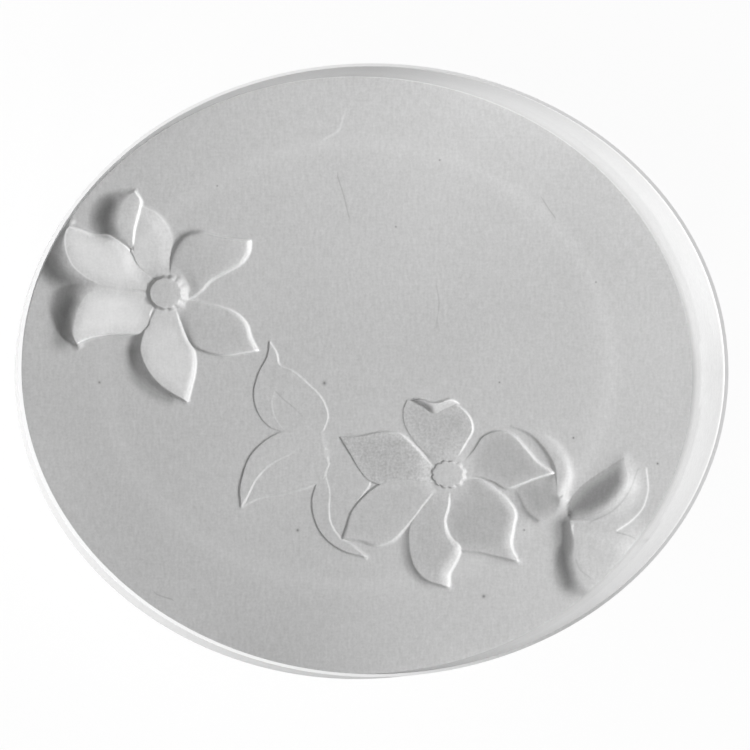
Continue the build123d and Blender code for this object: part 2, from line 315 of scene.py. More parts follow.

# Marks painted on the surface, most of them painted light and shade and the last few real scratches: a
# curve, its width and how much paler it is (darker when negative).
marks = [
    # a painted highlight along the thin rim of the soft leaf, and painted shade in the creases beside
    # it and in the deep leaf
    {"line": [(38.0, -22.4), (40.0, -21.0), (41.6, -19.2), (42.4, -16.6), (42.2, -13.7)],
     "width": 0.13, "tone": 0.8},
    {"line": [(34.0, -21.2), (37.5, -19.4), (39.6, -17.0), (40.9, -13.6)],
     "width": 0.12, "tone": -0.25},
    {"line": [(38.0, -22.7), (39.8, -23.2), (41.4, -24.0)], "width": 0.1, "tone": -0.3},
    {"line": [(32.0, -26.6), (32.6, -28.0), (34.0, -29.2)], "width": 0.1, "tone": -0.2},
    # the deepest sides of the recesses, where the least light gets in
    {"line": [(-41.6, 10.4), (-42.8, 7.4), (-43.0, 5.0)], "width": 1.4, "tone": -0.65},
    {"line": [(-45.4, 16.5), (-44.2, 14.6), (-42.0, 13.4)], "width": 1.3, "tone": -0.6},
    {"line": [(-35.8, 24.4), (-36.6, 22.4), (-36.2, 20.2)], "width": 1.2, "tone": -0.6},
    {"line": [(-33.0, 3.4), (-32.6, 0.4), (-30.2, -2.4), (-27.4, -3.6)],
     "width": 0.8, "tone": -0.5},
    {"line": [(29.6, -21.4), (29.8, -25.0), (31.0, -30.0)], "width": 1.2, "tone": -0.6},
    # painted shade where the leaf under the right lily and the crescent meet the soft leaf
    {"line": [(29.3, -17.8), (29.9, -19.2), (30.6, -20.4)], "width": 0.8, "tone": -0.35},
    # scratches
    {"line": [(-4.6, 34.3), (-2.8, 35.4), (-2.0, 37.6)], "width": 0.2, "tone": 0.3},
    {"line": [(-2.9, 28.8), (-2.0, 26.0), (-1.3, 23.1)], "width": 0.09, "tone": -0.35},
    {"line": [(27.2, 25.3), (27.9, 24.2), (28.8, 23.0)], "width": 0.09, "tone": -0.35},
    {"line": [(-29.2, -31.8), (-28.1, -32.2), (-27.0, -32.5)], "width": 0.09, "tone": -0.35},
    {"line": [(11.5, 13.0), (11.9, 10.4), (11.6, 8.0)], "width": 0.08, "tone": -0.2},
]

# A faint paler oval line on the floor, over the foot ring.
foot_line = {"semi": (37.0, 32.0), "y": 1.5, "width": 1.1, "tone": 0.09}

# Where the inside of the wall starts, as a share of its height, and how far out it reaches, as a share
# of the oval. How much paler it is painted on each side, as painted light, with painted light at the
# foot of its top side and painted shade at the foot of its right side, up to a share of its height.
wall_start, wall_limit = 0.0005, 1.001
wall_painted_light = {"top": 0.22, "left": 1.1, "top_right": 0.6, "bottom_right": 0.45}
top_foot_painted_light = {"tone": 0.3, "height": 0.35}
right_foot_painted_shade = {"tone": -0.45, "height": 0.1}

# Where painted shade greys the lip, on the stretch that turns away from the light, and how far it
# spreads, in degrees round the oval.
lip_painted_shade = (303.0, 22.0)

# Specks on the floor, each with its size.
specks = [
    ((-4.8, -1.2), 0.26), ((24.3, -22.4), 0.15), ((18.4, -32.0), 0.24), ((31.5, -9.0), 0.15),
    ((43.8, -12.7), 0.15), ((20.7, -1.0), 0.13), ((-37.5, -1.2), 0.2), ((-8.7, -22.5), 0.22),
    ((5.6, 21.5), 0.13), ((-20.4, 27.3), 0.12), ((12.0, 31.2), 0.14), ((34.8, 13.6), 0.12),
]

speck_darkness = 0.9

# How wide the painted highlight along an edge is.
painted_highlight_width = 0.11

# A petal has only the least share of its painted light and shade at its edges and near the middle of
# its flower. It has all of it this far inside the edges, and this far from the middle.
shade_inset = 2.0
shade_start, shade_end = 2.0, 7.0
least_shade = 0.2

# Painted shade: the floor is painted a little greyer towards the right, beside the lit wall: by how
# much, from where, over what length.
right_painted_shade = {"tone": 0.2, "start": 10.0, "length": 35.0}

# How high up the wall the relief fades out, and how far outside the floor's edge the
# leaning wall still takes part in it.
relief_reach = 9.0
cavity_margin = 0.5

# Points this near a level count as on it.
hair = 0.01

# The slope outside an edge is never narrower than this, and two edges' slopes blend over a
# distance that starts narrow and grows away from them.
least_skirt = 0.02
blend_start, blend_growth = 0.15, 0.6

# ---- how close together the floor's points are, in millimetres ----

curve_spacing = 0.22
mark_spacing = 0.12
mark_curve_spacing = 0.3
petal_spacing = 0.42
floor_spacing = 1.3
edge_offsets = (-0.55, -0.32, -0.17, -0.07, 0.0, 0.07, 0.17, 0.32, 0.55)
mark_offsets = (-0.32, -0.15, -0.07, 0.0, 0.07, 0.15, 0.32)
edge_gap = 0.06
petal_gap = 0.28
floor_gap = 0.7
cove_gap = 0.3
petal_margin = 0.4

# Rings round a speck: their radius as a share of its size, and how many points.
speck_rings = ((0.0, 1), (0.4, 6), (0.9, 10), (1.5, 14), (2.4, 16))

# ---- the silicone's looks: noise in waves to the metre, and the limits of its tone ----

cloud_scale = 45.0
grain_scale = 3000.0
thread_scale = 2300.0
thread_stretch = 0.28
# The palest and darkest colours that the tone can take: its painted light and shade, and its real
# scratches and specks.
palest = (0.97, 0.97, 0.97)
darkest = (0.2, 0.2, 0.2)
darkening = 0.75
refraction = 1.41

# ---- the lamps, in degrees: where they shine from and how wide they look ----

side_lamp = {"azimuth": 176.0, "elevation": 30.0, "spread": 14.0}
window_lamp = {"azimuth": 200.0, "elevation": 48.0, "spread": 50.0}
rim_lamp = {"azimuth": 260.0, "elevation": 14.0, "spread": 10.0}

# ---- the ground and the camera, in millimetres ----

ground_width = 6000.0
camera_distance = 2200.0
camera_sight = 20000.0
view_aim = (0.14, -0.72, rim_level)

# Which way the camera lies from there, and how much of the ground that it sees is plain
# background, without the object's shadow.
view_from = (-0.11, -0.033, 1.0)
ground_glow = 0.9


# ---- ovals and curves ----

def inset(semi, distance):
    """The semi-axes of an oval this far inside another."""
    return (semi[0] - distance, semi[1] - distance)


def between(one, other, share):
    """The semi-axes of an oval part of the way from one to another."""
    return [first + (last - first) * share for first, last in zip(one, other)]


def in_oval(points, semi):
    """Which points lie inside an oval."""
    return (points[:, 0] / semi[0]) ** 2 + (points[:, 1] / semi[1]) ** 2 < 1.0


def bell(gap, width):
    """One at no distance, and fading to nothing a few widths away."""
    return np.exp(-((gap / width) ** 2))


def smooth_curve(points, spacing):
    """Points along a smooth curve through a few given ones, at an even spacing."""
    knots = np.array(points, float)
    chord = np.concatenate([[0.0], np.cumsum(np.hypot(*np.diff(knots, axis=0).T))])
    slopes = np.gradient(knots, chord, axis=0)
    fine = np.linspace(0.0, chord[-1], max(8, int(chord[-1] / spacing) + 1))
    seat = np.clip(np.searchsorted(chord, fine, side="right") - 1, 0, len(knots) - 2)
    gap = (chord[seat + 1] - chord[seat])[:, None]
    t = (fine - chord[seat])[:, None] / gap
    return (
        (2 * t**3 - 3 * t**2 + 1) * knots[seat]
        + (t**3 - 2 * t**2 + t) * gap * slopes[seat]
        + (3 * t**2 - 2 * t**3) * knots[seat + 1]
        + (t**3 - t**2) * gap * slopes[seat + 1]
    )


def through(stations, t):
    """A smooth value through three stations, at 0, a half and 1."""
    first, middle, last = stations
    return first + t * (4 * middle - 3 * first - last) + 2 * t * t * (first + last - 2 * middle)


def spread(stations, count):
    """Smooth values all along an edge, from one or more given evenly from its base to its tip."""
    stations = np.atleast_1d(stations)
    places = np.linspace(0.0, 1.0, len(stations))
    values = np.interp(np.linspace(0.0, 1.0, count), places, stations)
    reach = max(1, count // (3 * len(stations)))
    padded = np.pad(values, reach, mode="edge")
    return np.convolve(padded, np.full(2 * reach + 1, 1 / (2 * reach + 1)), mode="valid")


def smoothstep(t):
    """A soft rise from 0 to 1."""
    t = np.clip(t, 0.0, 1.0)
    return t * t * (3 - 2 * t)


class Edge:
    """One edge of a sunk shape: a fine line with its skirt and fillet all along it."""

    def __init__(self, line, skirt, fillet, pale, swell, drop):
        self.line = line
        self.skirt = np.maximum(skirt, least_skirt)
        self.fillet = np.maximum(fillet, 0.0)
        # how strong the painted highlight along the edge is
        self.pale = pale
        self.swell = swell
        self.drop = drop
        self.depth = np.zeros(len(line))

    def brink(self, skirt, fillet):
        """The share of its depth that the shape has reached at the edge itself."""
        share = 2 * skirt / (2 * skirt + max(2 - self.swell, 0.1) * fillet)
        return np.maximum(share, self.drop)

    def slope(self, found):
        """The depth of the slope outside the edge."""
        gap, skirt, fillet, depth, _ = found
        out = np.clip(gap / skirt, 0.0, 1.0)
        return depth * self.brink(skirt, fillet) * (1 - out) ** 2 * (1 + self.swell * out)

    def nearest(self, points):
        """How far each point is from the edge, and its skirt, fillet, depth and painted highlight
        there.
        """
        starts = self.line[:-1]
        spans = np.diff(self.line, axis=0)
        lengths = np.maximum((spans**2).sum(axis=1), 1e-12)
        found = np.zeros((5, len(points)))
        for low in range(0, len(points), 4000):
            away = points[low:low + 4000, None, :] - starts[None]
            t = np.clip((away * spans).sum(axis=2) / lengths, 0.0, 1.0)
            gap = np.hypot(*np.moveaxis(away - t[..., None] * spans, 2, 0))
            seat = gap.argmin(axis=1)
            rows = np.arange(len(seat))
            share = t[rows, seat]
            found[0, low:low + 4000] = gap[rows, seat]
            kinds = (self.skirt, self.fillet, self.depth, self.pale)
            for row, values in enumerate(kinds, start=1):
                here = values[seat] * (1 - share) + values[seat + 1] * share
                found[row, low:low + 4000] = here
        return found


class Hollow:
    """One sunk shape, with its outline worked out."""

    def __init__(self, edges, face, middle, stipple=0.0, shade=0.0):
        self.edges = edges
        self.face = face
        self.middle = np.array(middle)
        self.stipple = stipple
        self.shade = shade
        self.outline = np.concatenate([edges[0].line, edges[1].line[-2:0:-1]])
        for edge in edges:
            edge.depth = np.maximum(face(edge.line), 0.0)
        self.reach = max(edge.skirt.max() for edge in edges)
        self.low = self.outline.min(axis=0)
        self.high = self.outline.max(axis=0)

    def near(self, points, margin):
        """Which points lie in the shape's box, widened by a margin."""
        return np.all((points > self.low - margin) & (points < self.high + margin), axis=1)

    def holds(self, points):
        """Which points lie inside the outline."""
        inside = np.zeros(len(points), bool)
        x, y = points.T
        for start, end in zip(self.outline, np.roll(self.outline, -1, axis=0)):
            if start[1] == end[1]:
                continue
            crosses = (start[1] > y) != (end[1] > y)
            border = start[0] + (end[0] - start[0]) * (y - start[1]) / (end[1] - start[1])
            inside ^= crosses & (x < border)
        return inside

    def within(self, points):
        """The depth at points inside the outline, rounded up towards each edge."""
        depth = np.maximum(self.face(points), 0.0)
        for edge in self.edges:
            gap, skirt, fillet, _, _ = edge.nearest(points)
            near = np.clip(1 - gap / np.maximum(fillet, 1e-6), 0.0, 1.0)
            rise = (1 - edge.brink(skirt, fillet)) * near**2
            depth *= 1 - rise
        return depth

    def beside(self, points):
        """The depth of the slope beside the outline, at points outside it."""
        one, other = [edge.nearest(points) for edge in self.edges]
        blend = blend_start + blend_growth * np.minimum(one[0], other[0])
        share = smoothstep(0.5 + (one[0] - other[0]) / (2 * blend))
        return self.edges[0].slope(one) * (1 - share) + self.edges[1].slope(other) * share


def petal_hollow(shape, middle):
    """The hollow of one petal or leaf, placed round the middle of its flower."""
    edges = []
    for side, points in enumerate(shape["edges"]):
        line = smooth_curve(points, curve_spacing) + np.array(middle)
        skirt, fillet, pale = [
            spread(shape[name][side], len(line)) for name in ("skirts", "fillets", "pales")
        ]
        edges.append(Edge(line, skirt, fillet, pale, shape["swells"][side], shape["drops"][side]))
    base = (edges[0].line[0] + edges[1].line[0]) / 2
    rib = edges[0].line[-1] - base
    length = np.hypot(*rib)
    rib = rib / length

    def face(points):
        away = points - base
        along = np.clip(away @ rib / length, 0.0, 1.0)
        across = away[:, 1] * rib[0] - away[:, 0] * rib[1]
        return through(shape["lift"], along) + shape["tilt"] * across + shape["cup"] * across**2

    return Hollow(edges, face, middle, shape["stipple"], shape["shade"])


def stamen_hollow(pit):
    """The hollow of a lily's stamens, with a scalloped edge."""
    edges = []
    for half in (0, 1):
        turns = np.linspace(half * math.pi, (half + 1) * math.pi, pit["lobes"] * 6)
        if half:
            turns = turns[::-1]
        ragged = pit["ragged"] + (1 - pit["ragged"]) * (0.5 + 0.5 * np.cos(turns))
        lobes = np.abs(np.sin(turns * pit["lobes"] / 2)) - scallop_middle
        scallop = 1.0 + scallop_depth * ragged * lobes
        oval = [pit["semi"][0] * scallop * np.cos(turns), pit["semi"][1] * scallop * np.sin(turns)]
        line = np.array(pit["middle"]) + np.stack(oval, axis=1)
        if half:
            edges[0].line[0] = line[0]
            edges[0].line[-1] = line[-1]
        # The skirt is narrow above and below, and changes three times as much as the outline.
        sides = steep_share + (1 - steep_share) * np.abs(np.cos(turns))
        skirt = pit["skirt"] * sides * (scallop * 3 - 2)
        fillet = np.full(len(line), stamen_fillet)
        edges.append(Edge(line, skirt, fillet, np.zeros(len(line)), 1.0, 0.0))
    return Hollow(edges, lambda points: np.full(len(points), pit["lift"]), pit["middle"])


def all_hollows():
    """Every hollow of the relief, each lying over the ones before it."""
    petals = [petal_hollow(shape, middle) for middle, shapes in relief for shape in shapes]
    return petals, [stamen_hollow(pit) for pit in stamens]


def relief_depth(points, hollows, softness):
    """How far the floor is sunk at each point, with every sheer edge softened a little."""
    offsets = [(0.0, 0.0)]
    for degrees in range(0, 360, 60):
        angle = math.radians(degrees)
        offsets.append((softness * math.cos(angle), softness * math.sin(angle)))
    total = np.zeros(len(points))
    for offset in offsets:
        total += sheer_depth(points + np.array(offset), hollows)
    return total / len(offsets)


def sheer_depth(points, hollows):
    """How far the floor is sunk at each point, before its edges are softened."""
    petals, pits = hollows
    slopes = np.zeros(len(points))
    faces = np.full(len(points), -1.0)
    lay_hollows(points, petals, faces, slopes)
    depth = np.where(faces >= 0.0, faces, slopes)
    for heart in hearts:
        away = points - np.array(heart["middle"])
        reach = np.hypot(*away.T)
        share = smoothstep((heart["outer"] - reach) / (heart["outer"] - heart["inner"]))
        depth += share * (heart["lift"] + heart["lean"] * away[:, 0] - depth)
    faces = np.full(len(points), -1.0)
    lay_hollows(points, pits, faces, depth)
    return np.where(faces >= 0.0, faces, depth)


def lay_hollows(points, hollows, faces, slopes):
    """Sink some hollows: their faces replace what lies under, their slopes only deepen it."""
    for hollow in hollows:
        near = np.flatnonzero(hollow.near(points, hollow.reach))
        if not len(near):
            continue
        held = hollow.holds(points[near])
        inside = near[held]
        beside = near[~held]
        faces[inside] = hollow.within(points[inside])
        slopes[beside] = np.maximum(slopes[beside], hollow.beside(points[beside]))


def painted_edge_highlights(points, hollows):
    """The painted highlight at each point, along the edges of the petals."""
    pale = np.zeros(len(points))
    for hollow in hollows[0]:
        near = np.flatnonzero(hollow.near(points, 3 * painted_highlight_width))
        if not len(near):
            continue
        pale[near[hollow.holds(points[near])]] = 0.0
        for edge in hollow.edges:
            gap, _, _, _, share = edge.nearest(points[near])
            pale[near] = np.maximum(pale[near], share * bell(gap, painted_highlight_width))
    return pale


def petal_finish(points, hollows):
    """How strongly the silicone is stippled at each point, and how much painted light and shade each
    petal has there.
    """
    stipple = np.zeros(len(points))
    shade = np.zeros(len(points))
    for hollow in hollows[0]:
        near = np.flatnonzero(hollow.near(points, 0.0))
        inside = near[hollow.holds(points[near])] if len(near) else near
        if not len(inside):
            continue
        one, other = [edge.nearest(points[inside])[0] for edge in hollow.edges]
        from_heart = np.hypot(*(points[inside] - hollow.middle).T)
        share = smoothstep(np.minimum(one, other) / shade_inset)
        share *= smoothstep((from_heart - shade_start) / (shade_end - shade_start))
        stipple[inside] = hollow.stipple
        shade[inside] = hollow.shade * (least_shade + (1 - least_shade) * share)
    return stipple, shade


def wall_and_lip_painted_light_and_shade(places, at_lip):
    """The painted light and shade on the thin wall and the lip: paler on each side of the wall and all
    round the lip, with painted shade at the foot of the right side and on a stretch of the lip.
    """
    rise = np.clip((places[:, 2] - floor_top) / (rim_level - floor_top), 0.0, 1.0)
    semi = between(floor_semi, opening_semi, rise)
    across, up = places[:, 0] / semi[0], places[:, 1] / semi[1]
    inside = (rise > wall_start) & (np.hypot(across, up) < wall_limit) & ~at_lip
    top, bottom = np.maximum(up, 0.0), np.maximum(-up, 0.0)
    right, left = np.maximum(across, 0.0), np.maximum(-across, 0.0)
    tone = wall_painted_light["top"] * top + wall_painted_light["left"] * left
    tone += right * (wall_painted_light["top_right"] * top + wall_painted_light["bottom_right"] * bottom)
    for side, foot in ((top, top_foot_painted_light), (right, right_foot_painted_shade)):
        tone += foot["tone"] * side * bell(rise, foot["height"])
    tone = np.where(inside, tone, 0.0)
    turn = np.degrees(np.arctan2(up, across)) % 360
    # The lip is painted pale all round as painted light, except the stretch of painted shade.
    tone[at_lip] = 1.0 - bell(turn - lip_painted_shade[0], lip_painted_shade[1])[at_lip]
    return tone


def surface_tone(points, hollows):
    """How much paler or darker the silicone is painted at each point, apart from whole petals: painted
    highlights along the edges, painted light and shade in the marks, painted shade towards the right,
    the faint line over the foot ring, and real scratches and specks.
    """
    tone = painted_edge_highlights(points, hollows)
    for mark in marks:
        line = smooth_curve(mark["line"], mark_curve_spacing)
        reach = 3 * mark["width"]
        low, high = line.min(axis=0) - reach, line.max(axis=0) + reach
        near = np.flatnonzero(np.all((points > low) & (points < high), axis=1))
        if not len(near):
            continue
        plain = np.zeros(len(line))
        gap = Edge(line, plain, plain, plain, 0.0, 0.0).nearest(points[near])[0]
        tone[near] += mark["tone"] * bell(gap, mark["width"])
    x, y = points.T
    tone -= right_painted_shade["tone"] * smoothstep((x - right_painted_shade["start"]) / right_painted_shade["length"])
    ring = foot_line["semi"]
    gap = (np.hypot(x / ring[0], (y - foot_line["y"]) / ring[1]) - 1) * ring[1]
    tone += foot_line["tone"] * bell(gap, foot_line["width"])
    for place, size in specks:
        tone -= speck_darkness * bell(np.hypot(*(points - np.array(place)).T), size)
    return tone


# ---- the mesh ----

def only(piece):
    """Select one piece alone and make it the active one."""
    bpy.ops.object.select_all(action="DESELECT")
    piece.select_set(True)
    bpy.context.view_layer.objects.active = piece


def shell_stations():
    """Ovals round the casting: up the cavity, over the lip, down and under to the middle."""
    stations = []
    for step in range(round_steps + 1):
        angle = math.radians(90 * step / round_steps)
        level = floor_top + cove_radius * (1 - math.cos(angle))
        stations.append((inset(floor_semi, cove_radius * (1 - math.sin(angle))), level))
    foot_level = floor_top + cove_radius
    for step in range(1, wall_steps + 1):
        t = step / wall_steps
        level = foot_level + (rim_level - foot_level) * t
        stations.append((between(floor_semi, opening_semi, t), level))
    stations.append((lip_semi, rim_level - lip_slant))
    outside = inset(floor_semi, -wall_thickness)
    waist = floor_bottom + underside_radius
    for step in range(1, wall_steps):
        t = step / wall_steps
        level = rim_level + (floor_top - rim_level) * t
        stations.append((between(lip_semi, outside, t), level))
    stations.append((outside, floor_top))
    for step in range(round_steps + 1):
        angle = math.radians(90 * step / round_steps)
        semi = inset(outside, underside_radius * (1 - math.cos(angle)))
        stations.append((semi, waist - underside_radius * math.sin(angle)))
    foot_outside = inset(floor_semi, foot_inset)
    foot_inside = inset(foot_outside, foot_width)
    corner = foot_round * corner_share
    profile = [
        (-foot_round, floor_bottom),
        (-corner, floor_bottom - corner),
        (0.0, foot_round),
        (corner, corner),
        (foot_round, 0.0),
    ]
    stations += [(inset(foot_outside, distance), level) for distance, level in profile]
    stations += [(inset(foot_inside, -distance), level) for distance, level in reversed(profile)]
    for share in underside_shares:
        stations.append((between((0.0, 0.0), foot_inside, share), floor_bottom))
    return stations


def make_shell():
    """The casting without its floor, extruded oval by oval from the foot of the cove."""
    stations = shell_stations()
    semi, level = stations[0]
    bpy.ops.object.select_all(action="DESELECT")
    bpy.ops.mesh.primitive_circle_add(
        vertices=ring_points, radius=1.0, fill_type="NOTHING", location=(0.0, 0.0, level * MM)
    )
    shell = bpy.context.active_object
    shell.scale = (semi[0] * MM, semi[1] * MM, 1.0)
    bpy.ops.object.transform_apply(location=True, rotation=True, scale=True)
    bpy.ops.object.mode_set(mode="EDIT")
    bpy.ops.mesh.select_all(action="SELECT")
    for next_semi, next_level in stations[1:]:
        bpy.ops.mesh.extrude_edges_move(
            TRANSFORM_OT_translate={"value": (0.0, 0.0, (next_level - level) * MM)}
        )
        bpy.ops.transform.resize(
            value=(next_semi[0] / semi[0], next_semi[1] / semi[1], 1.0),
            center_override=(0.0, 0.0, 0.0),
        )
        semi, level = next_semi, next_level
    bpy.ops.mesh.merge(type="CENTER")
    bpy.ops.mesh.select_all(action="SELECT")
    bpy.ops.mesh.normals_make_consistent(inside=False)
    bpy.ops.object.mode_set(mode="OBJECT")
    return shell


def floor_ring():
    """The points of the oval where the floor meets the cove."""
    semi = inset(floor_semi, cove_radius)
    turns = np.arange(ring_points) * 2 * math.pi / ring_points
    return np.stack([semi[0] * np.sin(turns), semi[1] * np.cos(turns)], axis=1)


def hex_grid(spacing):
    """Points over the whole floor, each as far from its neighbours."""
    rows = np.arange(-floor_semi[1], floor_semi[1], spacing * math.sqrt(0.75))
    points = []
    for index, y in enumerate(rows):
        xs = np.arange(-floor_semi[0], floor_semi[0], spacing) + (index % 2) * spacing / 2
        points.append(np.stack([xs, np.full(len(xs), y)], axis=1))
    return np.concatenate(points)


def edge_rows(hollow):
    """Rows of points along both sides of an outline, close together at its edge."""
    outline = hollow.outline
    tangent = np.roll(outline, -1, axis=0) - np.roll(outline, 1, axis=0)
    tangent /= np.maximum(np.hypot(*tangent.T), 1e-9)[:, None]
    normal = np.stack([tangent[:, 1], -tangent[:, 0]], axis=1)
    return np.concatenate([outline + normal * offset for offset in edge_offsets])


def mark_rows():
    """Points along each mark, and rings of them round each speck."""
    rows = []
    for mark in marks:
        line = smooth_curve(mark["line"], mark_spacing)
        along = np.gradient(line, axis=0)
        across = np.stack([along[:, 1], -along[:, 0]], axis=1) / np.hypot(*along.T)[:, None]
        rows += [line + across * offset for offset in mark_offsets]
    for place, size in specks:
        for radius, count in speck_rings:
            turns = np.arange(count) * 2 * math.pi / count
            ring = size * radius * np.stack([np.cos(turns), np.sin(turns)], axis=1)
            rows.append(np.array(place) + ring)
    return rows


def floor_points(hollows):
    """Where the floor's points lie: dense along edges, closer on petals, sparse elsewhere."""
    inner = inset(floor_semi, cove_radius + cove_gap)
    fine = hex_grid(petal_spacing)
    coarse = hex_grid(floor_spacing)
    worked_fine = np.zeros(len(fine), bool)
    worked_coarse = np.zeros(len(coarse), bool)
    shapes = [hollow for group in hollows for hollow in group]
    for hollow in shapes:
        worked_fine |= hollow.near(fine, hollow.reach + petal_margin)
        worked_coarse |= hollow.near(coarse, hollow.reach + petal_margin)
    candidates = [edge_rows(hollow) for hollow in shapes] + mark_rows()
    candidates += [fine[worked_fine], coarse[~worked_coarse]]
    gaps = [edge_gap] * (len(candidates) - 2) + [petal_gap, floor_gap]
    kept = [Vector((x, y, 0.0)) for x, y in floor_ring()]
    for points, gap in zip(candidates, gaps):
        kept = thinned(kept, points[in_oval(points, inner)], gap)
    return kept


def thinned(kept, points, gap):
    """The kept points, and those of the new ones that aren't too near any of them."""
    taken = {}
    for point in kept:
        taken.setdefault((int(point.x // gap), int(point.y // gap)), []).append(point)
    for x, y in points:
        column, row = int(x // gap), int(y // gap)
        crowded = False
        for i in (column - 1, column, column + 1):
            for j in (row - 1, row, row + 1):
                for other in taken.get((i, j), ()):
                    if (other.x - x) ** 2 + (other.y - y) ** 2 < gap * gap:
                        crowded = True
        if not crowded:
            point = Vector((x, y, 0.0))
            kept.append(point)
            taken.setdefault((column, row), []).append(point)
    return kept


def make_floor(hollows):
    """The flat floor, triangulated between its points."""
    points = [point.xy for point in floor_points(hollows)]
    border = [(i, (i + 1) % ring_points) for i in range(ring_points)]
    corners, _, faces, _, _, _ = geometry.delaunay_2d_cdt(points, border, [], 1, 1e-5)
    mesh = bpy.data.meshes.new("mould_floor")
    mesh.from_pydata([(x * MM, y * MM, floor_top * MM) for x, y in corners], [], faces)
    floor = bpy.data.objects.new("mould_floor", mesh)
    bpy.context.collection.objects.link(floor)
    return floor


def keep_values(mesh, name, kind, domain, values):
    """Let a mesh hold a value for each of its points or edges."""
    mesh.attributes.new(name, kind, domain).data.foreach_set("value", values)


def press_relief(piece, hollows, strength, softness):
    """Sink the relief into the floor, and let it fade out up the wall beside it."""
    mesh = piece.data
    places = np.empty(len(mesh.vertices) * 3)
    mesh.vertices.foreach_get("co", places)
    places = places.reshape(-1, 3) / MM
    in_cavity = in_oval(places, inset(floor_semi, -cavity_margin))
    low = (places[:, 2] > floor_top - hair) & (places[:, 2] < floor_top + relief_reach)
    chosen = np.flatnonzero(in_cavity & low)
    depth = relief_depth(places[chosen, :2], hollows, softness) * strength
    fade = 1.0 - smoothstep((places[chosen, 2] - floor_top) / relief_reach)
    # The tone holds painted light and shade, with real scratches and specks.
    tone = np.zeros(len(places))
    tone[chosen] += surface_tone(places[chosen, :2], hollows)
    stipple = np.zeros(len(places))
    stipple[chosen], shade = petal_finish(places[chosen, :2], hollows)
    # the petals' painted light and shade
    tone[chosen] += shade
    at_lip = places[:, 2] > rim_level - lip_slant - hair
    tone += wall_and_lip_painted_light_and_shade(places, at_lip)
    places[chosen, 2] -= depth * fade
    mesh.vertices.foreach_set("co", (places * MM).ravel())
    ends = np.empty(len(mesh.edges) * 2, np.int32)
    mesh.edges.foreach_get("vertices", ends)
    sharp = at_lip[ends.reshape(-1, 2)].all(axis=1)
    keep_values(mesh, "tone", "FLOAT", "POINT", tone)
    keep_values(mesh, "stipple", "FLOAT", "POINT", stipple)
    keep_values(mesh, "sharp_edge", "BOOLEAN", "EDGE", sharp)
    mesh.update()


# ---- materials ----

class Socket:
    """One value in a material, which takes part in plain arithmetic."""

    def __init__(self, graph, socket):
        self.graph = graph
        self.socket = socket

    def __add__(self, other):
        return self.graph.maths("ADD", self, other)

    def __radd__(self, other):
        return self.graph.maths("ADD", other, self)

    def __sub__(self, other):
        return self.graph.maths("SUBTRACT", self, other)

    def __rsub__(self, other):
        return self.graph.maths("SUBTRACT", other, self)

    def __mul__(self, other):
        return self.graph.maths("MULTIPLY", self, other)

    def __rmul__(self, other):
        return self.graph.maths("MULTIPLY", other, self)


class Graph:
    """The nodes of one material, or of the air round the object."""

    def __init__(self, owner):
        owner.use_nodes = True
        self.tree = owner.node_tree
        self.tree.nodes.clear()

    def node(self, kind, settings=None, sockets=None):
        """Add a node, set it up, and feed its sockets with values or other sockets."""
        node = self.tree.nodes.new("ShaderNode" + kind)
        for name, value in (settings or {}).items():
            setattr(node, name, value)
        for name, value in (sockets or {}).items():
            if isinstance(value, Socket):
                self.tree.links.new(value.socket, node.inputs[name])
            else:
                node.inputs[name].default_value = value
        return node

    def take(self, node, output):
        """One output of a node."""
        return Socket(self, node.outputs[output])

    def maths(self, operation, *values):
        """One step of arithmetic."""
        node = self.node("Math", {"operation": operation}, dict(enumerate(values)))
        return self.take(node, 0)

    def noise(self, place, scale, detail):
        """Soft noise, from 0 to 1."""
        sockets = {"Vector": place, "Scale": scale, "Detail": detail}
        return self.take(self.node("TexNoise", None, sockets), 0)

    def threads(self, place, stretch):
        """Fine noise drawn out along one axis."""
        mapping = self.node("Mapping", None, {"Vector": place, "Scale": stretch})
        return self.noise(self.take(mapping, 0), thread_scale, 2.0)

    def attribute(self, name):
        """A value that the mesh holds for each of its points."""
        return self.take(self.node("Attribute", {"attribute_name": name}), "Fac")

    def mix(self, share, one, other):
        """A colour between two."""
        node = self.node("Mix", {"data_type": "RGBA"}, {0: share, 6: one, 7: other})
        return self.take(node, 2)

    def blend(self, share, one, other):
        """A shader between two."""
        sockets = {0: share, 1: self.take(one, 0), 2: self.take(other, 0)}
        return self.node("MixShader", None, sockets)

    def show(self, output, shader):
        """Make a shader the one that is seen."""
        self.node(output, None, {"Surface": self.take(shader, 0)})


def linear(colour):
    """A colour as a shader takes it, from the values seen on a screen."""
    shades = [c / 12.92 if c <= 0.04045 else ((c + 0.055) / 1.055) ** 2.4 for c in colour]
    return (*shades, 1.0)


def shaded(colour, change):
    """A colour made a little lighter or darker."""
    return tuple(shade * (1.0 + change) for shade in colour[:3]) + (1.0,)


